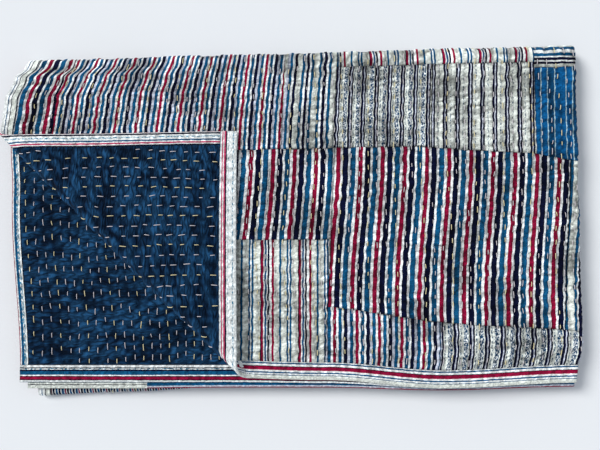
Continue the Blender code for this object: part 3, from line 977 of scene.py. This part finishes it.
# Each strip's stripes, from its stitched edge on the patchwork face, over the throw's edge,
# to its stitched edge on the backing
PINK = "#c4466a"
BINDING_CLOTHS = {
    "left": (
        (1.2, NAVY), (5.0, CREAM), (1.0, NAVY), (2.6, WHITE), (0.9, TEAL), (5.0, WHITE),
        (1.4, PINK), (0.9, WHITE), (1.8, NAVY), (1.8, WHITE), (1.6, WHITE, 0.7), (2.0, WHITE),
        (1.8, TEAL), (1.2, WHITE), (1.6, PINK), (1.2, WHITE),
    ),
    "right": (
        (1.4, WHITE), (2.4, TEAL), (1.4, WHITE), (6.9, CRIMSON), (1.3, WHITE), (2.8, TEAL),
        (2.2, WHITE, 0.7), (0.9, WHITE),
    ),
    "foot_first": (
        (0.8, WHITE), (1.6, TEAL), (2.0, WHITE), (0.9, NAVY), (3.2, CRIMSON), (0.5, PINK),
        (1.9, WHITE), (1.4, TEAL), (1.6, WHITE), (0.7, TEAL), (5.0, CREAM), (4.6, WHITE),
        (1.6, WHITE, 0.6), (4.0, WHITE), (0.8, WHITE, 0.5), (1.4, WHITE), (1.6, NAVY),
        (1.6, PINK), (1.2, WHITE), (1.2, PINK), (1.2, WHITE),
    ),
    "foot_second": (
        (2.4, WHITE), (3.4, TEAL), (1.4, WHITE), (3.6, CRIMSON), (1.6, WHITE), (3.8, TEAL),
        (3.0, WHITE), (2.4, TEAL), (1.6, WHITE), (0.9, NAVY), (3.2, CRIMSON), (0.8, NAVY),
        (1.2, WHITE), (4.0, TEAL), (1.8, NAVY), (1.2, WHITE, 0.5), (1.2, NAVY), (1.0, WHITE),
    ),
    "head_first": (
        (2.4, WHITE), (3.4, NAVY), (1.6, WHITE), (3.4, NAVY), (1.8, WHITE), (3.6, TEAL),
        (1.5, LILAC), (2.4, CRIMSON), (1.5, WHITE), (3.6, NAVY), (1.6, WHITE), (4.0, TEAL),
        (2.0, WHITE), (4.0, NAVY), (2.6, WHITE),
    ),
    "head_second": (
        (3.6, CREAM), (1.1, TEAL), (4.2, CREAM), (0.9, TEAL), (4.6, CREAM), (1.0, NAVY),
        (5.6, CREAM), (1.1, TEAL), (6.0, CREAM), (1.1, TEAL), (8.0, CREAM),
    ),
}


LEG_SHARES = (1.0, 0.97, 0.8, 0.62, 0.45, 0.3, 0.17)  # lines along a leg, as shares of it
EDGE_BEND = 0.0011
EDGE_STEPS = 6
STRIP_CELL = 0.0022
HEM_STITCH = 0.0052  # between the small stitches that hold a strip's hems down


def binding_profile(width):
    """The strip's section, from one stitched edge round the fold to the other.

    Gives each point's distance in from the quilt's edge and its w, how far round the strip it
    lies, and how many of the points are on the outside.
    """
    outer = [(width * share, HALF_SHEET) for share in LEG_SHARES]
    for step in range(EDGE_STEPS + 1):
        angle = math.pi / 2 * step / EDGE_STEPS
        drop = EDGE_BEND * (1 - math.cos(angle))
        outer.append((EDGE_BEND * (1 - math.sin(angle)), HALF_SHEET - drop))
    outer += [(inward, -w) for inward, w in reversed(outer)]
    inside = HALF_SHEET - BINDING_LEG
    inner = [(width, -inside), (width * 0.5, -inside), (BINDING_LEG, -inside)]
    inner += [(inward, -w) for inward, w in reversed(inner)]
    around = [0.0]
    for (a, b), (c, d) in zip(outer, outer[1:]):
        around.append(around[-1] + math.hypot(c - a, d - b))
    around += [around[-1] * 0.5] * len(inner)
    return np.array(outer + inner), np.array(around), len(outer)


def end_faces(ring, outer_count):
    """The faces that close an end of a strip, between its outside and its inside."""
    outer, inner = ring[:outer_count], ring[: outer_count - 1 : -1]
    half = [0, 0, 1, 1] + [2] * (outer_count // 2 - 4)
    partner = [inner[k] for k in half] + [inner[5 - k] for k in reversed(half)]
    faces = []
    for k in range(outer_count - 1):
        face = (outer[k], outer[k + 1], partner[k + 1], partner[k])
        faces.append(face[:3] if partner[k + 1] == partner[k] else face)
    return faces


hem_puff = wave_field(31, 0.006, 0.014, 0.0, 0.7, 30)
hem_wave = wave_field(32, 0.035, 0.09, 0.0, 0.8, 20)


def add_binding(name, width, low, high, place, bends, seed):
    """A strip folded over one edge of the throw. place(station, inward) gives (u, v)."""
    stations = lines_between(low, high, STRIP_CELL, bends)
    profile, around, outer_count = binding_profile(width)
    rows, count = len(stations), len(profile)
    station = np.repeat(stations, count)
    inward, w = np.tile(profile[:, 0], rows), np.tile(profile[:, 1], rows)
    u, v = place(station, inward)
    side = np.where(w >= 0, 1, -1)

    on_leg = eased((inward - 0.0006) / 0.004) * np.tile(np.arange(count) < outer_count, rows)
    hem = np.exp(-(((inward - width + 0.0012) / 0.0011) ** 2))
    beads = 0.5 + 0.5 * np.cos(2 * math.pi * station / HEM_STITCH)
    rise = 0.00022 * hem_puff(station + seed, inward * 1.5 + 0.02 * side)
    rise += 0.00020 * np.abs(hem_wave(station + seed, inward))
    rise -= 0.00040 * hem * (0.4 + 0.6 * beads)
    rise += 0.7 * side * creased(u, v)
    rise = np.clip(rise, -0.0004, 0.0007) * on_leg
    points = folded(u, v, w + side * rise)

    index = np.arange(rows * count).reshape(rows, count)
    turned = np.roll(index, -1, axis=1)
    tube = np.stack([index[:-1], turned[:-1], turned[1:], index[1:]], axis=-1).reshape(-1, 4)
    start, end = (end_faces(ring.tolist(), outer_count) for ring in (index[0], index[-1]))
    faces = tube.tolist() + [face[::-1] for face in start] + end
    if facing_out(points, tube) is not tube:
        faces = [face[::-1] for face in faces]
    return add_piece(
        f"strip_{name}",
        points,
        faces,
        np.stack([station, np.tile(around, rows)], axis=-1),
        # The strip's wear and painted shade: hollows and hem stitches painted darker, puffs lighter
        np.clip(0.62 + rise / STRIP_SHADE_AND_WEAR_RISE, 0, 1),
        striped_cotton(
            f"{name}_strip_cotton", BINDING_CLOTHS[name], along=True, fleck=PALE_FLECK
        ),
        SHARP_STRIP,
    )


def along_left(station, inward):
    return inward, station


def along_right(station, inward):
    return QUILT_WIDTH - inward, station


def along_foot(station, inward):
    return station, inward


def along_head(station, inward):
    return station, QUILT_LENGTH - inward


CORNER = END_BINDING + GAP  # the foot and head strips fill the corners
JOIN_GAP = 0.0001
FOOT_JOIN = MIDDLE_SEAM
HEAD_JOIN = 1.129
# Each strip: its width, where it starts and ends along its edge, the way it lies, and the
# bends that it crosses. The foot and head strips are each pieced from two lengths.
STRIPS = (
    ("left", LEFT_BINDING, CORNER, QUILT_LENGTH - CORNER, along_left, BENDS_ALONG),
    ("right", RIGHT_BINDING, CORNER, QUILT_LENGTH - CORNER, along_right, BENDS_ALONG),
    ("foot_first", END_BINDING, 0.0, FOOT_JOIN - JOIN_GAP, along_foot, BENDS_ACROSS),
    ("foot_second", END_BINDING, FOOT_JOIN, QUILT_WIDTH, along_foot, BENDS_ACROSS),
    ("head_first", END_BINDING, 0.0, HEAD_JOIN - JOIN_GAP, along_head, BENDS_ACROSS),
    ("head_second", END_BINDING, HEAD_JOIN, QUILT_WIDTH, along_head, BENDS_ACROSS),
)
bindings = {
    strip[0]: add_binding(*strip, seed=1.0 + 2.0 * number) for number, strip in enumerate(STRIPS)
}

# ---------------------------------------------------------------- running stitches

THREAD_WIDTH = 0.00085
THREAD_LIFT = 0.00012  # above the cloth, at the middle of a stitch
STITCH_ARCH = 0.00045
# Soft embroidery cotton: six strands with little twist, so it catches a little light
EMBROIDERY_COTTON = {"Roughness": 0.6, "Sheen Weight": 0.3}


def thread_cotton(name, hex_colour):
    """Embroidery cotton of one colour, darker and lighter from strand to strand."""
    material, tree, shader = start_material(name, EMBROIDERY_COTTON)
    place = add_node(tree, "ShaderNodeTexCoord").outputs["Object"]
    strands = add_node(tree, "ShaderNodeTexNoise", {"Vector": place, "Scale": 900.0, "Detail": 2.0})
    dark, light = (
        tuple(min(1.0, shade * c) for c in linear(hex_colour)[:3]) + (1.0,) for shade in (0.7, 1.25)
    )
    mixed = {"Factor": strands, 6: dark, 7: light}
    mix = add_node(tree, MIX, mixed, data_type="RGBA")
    tree.links.new(mix.outputs[2], shader.inputs["Base Color"])
    return material


STITCH_STRAY = 0.07  # in stitch pitches, each stitch on its own
ROW_STRAY = 0.09  # in stitch pitches, a whole row
SIDE_STRAY = 0.0002


def stitches_on(side, left, right, near, far, shown):
    """The stitches of one cloth that lie in a region: u, v, length, tilt and row."""
    draw = np.random.default_rng(41 + (side > 0))
    found = []
    offset = 0.0 if side > 0 else 0.5
    for number in range(math.ceil(left / ROW), math.floor(right / ROW) + 1):
        counts = np.arange(math.floor(near / STITCH_PITCH) - 1, math.ceil(far / STITCH_PITCH) + 2)
        shift = draw.normal(0, STITCH_STRAY, len(counts)) + draw.normal(0, ROW_STRAY)
        v = (counts + shift - offset) * STITCH_PITCH
        u = np.full(len(v), number * ROW)
        for _ in range(SETTLING):
            u = ROW * (number + ROW_WANDER * row_wander(u, v))
            v = STITCH_PITCH * (counts + shift - offset + STITCH_DRIFT * stitch_drift(u, v))
        u = u + draw.normal(0, SIDE_STRAY, len(v))
        length = STITCH_LENGTH * draw.uniform(0.75, 1.2, len(v))
        tilt = draw.normal(0, SIDE_STRAY, len(v))
        keep = (v > near) & (v < far) & (u > left) & (u < right) & shown(u, v)
        for a, b, c, d in zip(u[keep], v[keep], length[keep], tilt[keep]):
            found.append((a, b, c, d, number))
    return np.array(found)


STITCH_FIELDS = (("run", "FLOAT_VECTOR"), ("out", "FLOAT_VECTOR"), ("reach", "FLOAT"))


def stitch_points(name, side, stitches):
    """One point for each stitch, with its direction, its outward direction and its length."""
    u, v, length, tilt = stitches[:, 0], stitches[:, 1], stitches[:, 2], stitches[:, 3]
    heights = []
    for share in (-0.5, 0.0, 0.5):
        moved_u, moved_v, w, _ = cloth_surface(side, u + tilt * share, v + length * share)
        heights.append(folded(moved_u, moved_v, w))
    start, middle, end = heights
    moved_u, moved_v, w, _ = cloth_surface(side, u, v)
    above = folded(moved_u, moved_v, w + side * MM)
    out = above - middle
    out /= np.linalg.norm(out, axis=1)[:, None]
    run = end - start
    reach = np.linalg.norm(run, axis=1)
    lifted = np.maximum(np.einsum("ij,ij->i", (start + end) / 2 - middle, out), 0)
    middle = middle + out * (lifted * 0.5 + THREAD_LIFT)[:, None]
    mesh = bpy.data.meshes.new(name)
    mesh.from_pydata(middle.tolist(), [], [])
    fields = (run / reach[:, None], out, np.clip(reach, 0.003, 0.008))
    for (label, kind), values in zip(STITCH_FIELDS, fields):
        attribute = mesh.attributes.new(label, kind, "POINT")
        field = "vector" if kind == "FLOAT_VECTOR" else "value"
        attribute.data.foreach_set(field, np.asarray(values).reshape(-1))
    return add_object(name, mesh)


def stitch_tree():
    """Sets a short arched length of thread on every point, along its run.

    Gives the tree and its inputs' identifiers.
    """
    tree = bpy.data.node_groups.new("running_stitches", "GeometryNodeTree")
    inputs = {}
    for label, kind in (
        ("Geometry", "Geometry"),
        ("Thread Width", "Float"),
        ("Arch", "Float"),
        ("Thread", "Material"),
    ):
        socket = tree.interface.new_socket(
            label, in_out="INPUT", socket_type=f"NodeSocket{kind}"
        )
        inputs[label] = socket.identifier
    tree.interface.new_socket("Geometry", in_out="OUTPUT", socket_type="NodeSocketGeometry")
    given = add_node(tree, "NodeGroupInput").outputs

    drop = add_node(tree, MATH, (given["Arch"], -1.2), operation="MULTIPLY")
    rise = add_node(tree, MATH, (given["Arch"], 1.6), operation="MULTIPLY")
    ends = {
        "Start": (-0.5, drop), "Start Handle": (-0.42, rise),
        "End Handle": (0.42, rise), "End": (0.5, drop),
    }
    sockets = {
        label: add_node(tree, "ShaderNodeCombineXYZ", {"X": along, "Z": height})
        for label, (along, height) in ends.items()
    }
    sockets["Resolution"] = 5
    arc = add_node(tree, "GeometryNodeCurvePrimitiveBezierSegment", sockets)
    half = add_node(tree, MATH, (given["Thread Width"], 0.5), operation="MULTIPLY")
    section = add_node(
        tree, "GeometryNodeCurvePrimitiveCircle", {"Resolution": 6, "Radius": half}
    )
    tube = add_node(
        tree,
        "GeometryNodeCurveToMesh",
        {"Curve": arc, "Profile Curve": section, "Fill Caps": True},
    )
    smooth = add_node(tree, "GeometryNodeSetShadeSmooth", (tube,))

    run, out, reach = (
        add_node(tree, "GeometryNodeInputNamedAttribute", {"Name": label}, data_type=kind)
        for label, kind in STITCH_FIELDS
    )
    turned = add_node(tree, "FunctionNodeAlignRotationToVector", {"Vector": run}, axis="X")
    turned = add_node(
        tree,
        "FunctionNodeAlignRotationToVector",
        {"Rotation": turned, "Vector": out},
        axis="Z",
        pivot_axis="X",
    )
    size = add_node(tree, "ShaderNodeCombineXYZ", {"X": reach, "Y": 1.0, "Z": 1.0})
    placed = add_node(
        tree,
        "GeometryNodeInstanceOnPoints",
        {"Points": given["Geometry"], "Instance": smooth, "Rotation": turned, "Scale": size},
    )
    real = add_node(tree, "GeometryNodeRealizeInstances", (placed,))
    coloured = add_node(
        tree, "GeometryNodeSetMaterial", {"Geometry": real, "Material": given["Thread"]}
    )
    add_node(tree, "NodeGroupOutput", (coloured,))
    return tree, inputs


STITCHES, STITCH_INPUTS = stitch_tree()


def sew(name, side, stitches, material):
    """Makes one mesh of the stitches."""
    points = stitch_points(f"{name}_points", side, stitches)
    modifier = points.modifiers.new("stitches", "NODES")
    modifier.node_group = STITCHES
    modifier[STITCH_INPUTS["Thread Width"]] = THREAD_WIDTH
    modifier[STITCH_INPUTS["Arch"]] = STITCH_ARCH
    modifier[STITCH_INPUTS["Thread"]] = material
    shown = points.evaluated_get(bpy.context.evaluated_depsgraph_get())
    mesh = bpy.data.meshes.new_from_object(shown)
    bpy.data.objects.remove(points)
    mesh.name = name
    return add_object(name, mesh)


# One row in three is sewn in ochre, and the others in a thread that has greyed with washing
pale_thread = thread_cotton("pale_embroidery_cotton", "#cfc9cd")
ochre_thread = thread_cotton("ochre_embroidery_cotton", "#e6d9a8")


# Tests for where stitches show, which stop short of the turning line


def on_top(u, v):
    return corner_distance(*pulled(u, v)) < -0.002


def on_turned_corner(u, v):
    return corner_distance(*pulled(u, v)) > 0.006


def on_bared_layer(u, v):
    pulled_u, pulled_v = pulled(u, v)
    return corner_distance(QUILT_WIDTH - pulled_u, pulled_v) > -0.010


def everywhere(u, v):
    return v > 0


# The regions that are stitched where the cloth is open to view: the side of the throw; the
# left, right, near and far ends; and the test for the places that show
HEM = 0.004  # the stitches stop this far short of the bindings
FIRST_U, FIRST_V = LEFT_BINDING + HEM, END_BINDING + HEM
LAST_U = QUILT_WIDTH - RIGHT_BINDING - HEM
REGIONS = (
    ("top", 1, FIRST_U, 0.640, FIRST_V, 0.392, on_top),
    ("turned", -1, FIRST_U, 0.30, FIRST_V, 0.30, on_turned_corner),
    ("bared", -1, 0.97, LAST_U, FIRST_V, 0.30, on_bared_layer),
    ("beneath", 1, FIRST_U, 0.640, 0.392, 0.755, everywhere),
)
sewn = []
for name, side, left, right, near, far, shown in REGIONS:
    stitches = stitches_on(side, left, right, near, far, shown)
    ochre = stitches[:, 4] % 3 == 0
    threads = (("pale", ~ochre, pale_thread), ("ochre", ochre, ochre_thread))
    for label, chosen, material in threads:
        if chosen.any():
            sewn.append(sew(f"stitches_{name}_{label}", side, stitches[chosen], material))

# ---------------------------------------------------------------- how the pieces ride

for piece in patchwork:
    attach(piece, "root")
for piece in backing:
    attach(piece, "root")
for piece in bindings.values():
    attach(piece, "root")
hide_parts("binding_left")
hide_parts("binding_right")
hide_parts("binding_foot")
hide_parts("binding_head")
for piece in sewn:
    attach(piece, "root")
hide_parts("patchwork_face")
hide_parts("plain_backing")
for piece in patchwork + backing:
    del piece["flat_size"]

# ---------------------------------------------------------------- the surface, light and camera


def build_floor():
    """A large sheet of matte white paper, a hair below the throw."""
    reach, drop = 6.0, 0.0004
    mesh = bpy.data.meshes.new("floor")
    corners = [(-reach, -reach, 0), (reach, -reach, 0), (reach, reach, 0), (-reach, reach, 0)]
    mesh.from_pydata(corners, [], [(0, 1, 2, 3)])
    paper = {"Base Color": linear("#e9ecef"), "Roughness": 0.9, "Specular IOR Level": 0.2}
    mesh.materials.append(start_material("matte_white_paper", paper)[0])
    floor = add_object("floor", mesh)
    floor.location.z = -drop


def aim(placed, direction, distance, target=(0, 0, 0)):
    """Sets a light or camera off from a target, looking back at it."""
    placed.location = Vector(target) + direction * distance
    placed.rotation_mode = "QUATERNION"
    placed.rotation_quaternion = direction.to_track_quat("Z", "Y")


def build_lights():
    """A soft bright room, with a window to the far left."""
    world = bpy.data.worlds.new("soft_room")
    bpy.context.scene.world = world
    world.use_nodes = True
    background = world.node_tree.nodes["Background"]
    background.inputs["Color"].default_value = linear("#e6ecf5")
    background.inputs["Strength"].default_value = 0.56
    data = bpy.data.lights.new("window", "SUN")
    data.energy = 2.5
    data.angle = math.radians(24)
    data.color = (1.0, 0.985, 0.96)
    aim(add_object("window", data), Vector((-0.70, 0.38, 0.80)), 2)


CAMERA_ELEVATION = math.radians(84)
CAMERA_DISTANCE = 0.78
CAMERA_TARGET = (0, 0, 0.022)
VIEW_WIDTH = 0.6768  # metres across the view, at the target
VIEW_SHIFT = (3 / 600, -11 / 600)  # in widths of the view
SENSOR = 36  # mm


def build_camera():
    """A camera almost straight above the throw, a little to the near side."""
    data = bpy.data.cameras.new("camera")
    data.sensor_width = SENSOR
    data.lens = SENSOR * CAMERA_DISTANCE / VIEW_WIDTH
    data.shift_x, data.shift_y = VIEW_SHIFT
    data.clip_start, data.clip_end = 0.01, 20
    camera = add_object("camera", data)
    back = Vector((0, -math.cos(CAMERA_ELEVATION), math.sin(CAMERA_ELEVATION)))
    aim(camera, back, CAMERA_DISTANCE, CAMERA_TARGET)
    bpy.context.scene.camera = camera


build_camera()
build_floor()
build_lights()
bpy.context.scene.view_settings.view_transform = "Standard"
